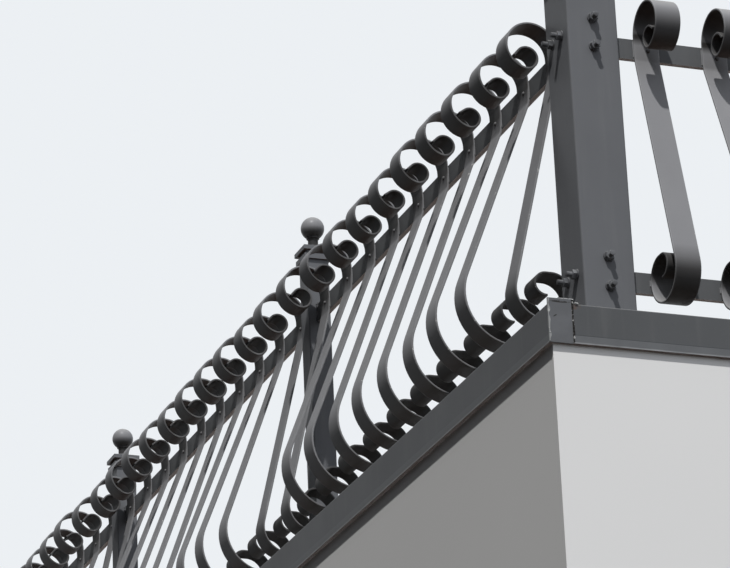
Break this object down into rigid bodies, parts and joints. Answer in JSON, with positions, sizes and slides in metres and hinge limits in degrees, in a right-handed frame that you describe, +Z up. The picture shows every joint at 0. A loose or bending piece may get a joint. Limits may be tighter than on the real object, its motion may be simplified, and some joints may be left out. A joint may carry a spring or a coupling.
{
  "type": "roof railing corner",
  "caption": "Low steel roof railing round an outside corner, with scrolled flat-bar balusters, capped posts and an edge beam.",
  "frame": {"origin": "underside of the corner foot plate, below the corner post's axis", "axes": "+X along the right wing, +Y along the left wing, +Z up; the street side is -X and -Y"},
  "size_m": [1.68, 4.437, 0.9117],
  "materials": {
    "dark_paint": "satin, slightly dusty",
    "grey_strip": "matt, rubbed pale along its lower edge",
    "foot_steel": "matt, weathered"
  },
  "bodies": {
    "root": {"corner_ball": "dark_paint", "corner_cap": "dark_paint", "corner_collar": "dark_paint", "corner_end_plate": "dark_paint", "corner_foot_plate": "foot_steel", "corner_post": "dark_paint", "far_end_plates": "dark_paint", "left_ball_1": "dark_paint", "left_ball_2": "dark_paint", "left_ball_3": "dark_paint", "left_balusters_1": "dark_paint", "left_balusters_2": "dark_paint", "left_balusters_3": "dark_paint", "left_bottom_rail_1": "dark_paint", "left_bottom_rail_2": "dark_paint", "left_bottom_rail_3": "dark_paint", "left_cap_1": "dark_paint", "left_cap_2": "dark_paint", "left_cap_3": "dark_paint", "left_collar_1": "dark_paint", "left_collar_2": "dark_paint", "left_collar_3": "dark_paint", "left_edge_beam": "dark_paint", "left_foot_plate_1": "foot_steel", "left_foot_plate_2": "foot_steel", "left_foot_plate_3": "foot_steel", "left_post_1": "dark_paint", "left_post_2": "dark_paint", "left_post_3": "dark_paint", "left_rail_lugs": "dark_paint", "left_strip": "grey_strip", "left_top_rail_1": "dark_paint", "left_top_rail_2": "dark_paint", "left_top_rail_3": "dark_paint", "right_ball_1": "dark_paint", "right_balusters_1": "dark_paint", "right_bottom_rail_1": "dark_paint", "right_cap_1": "dark_paint", "right_collar_1": "dark_paint", "right_edge_beam": "dark_paint", "right_foot_plate_1": "foot_steel", "right_post_1": "dark_paint", "right_rail_lugs": "dark_paint", "right_strip": "grey_strip", "right_top_rail_1": "dark_paint"}
  },
  "joints": []
}
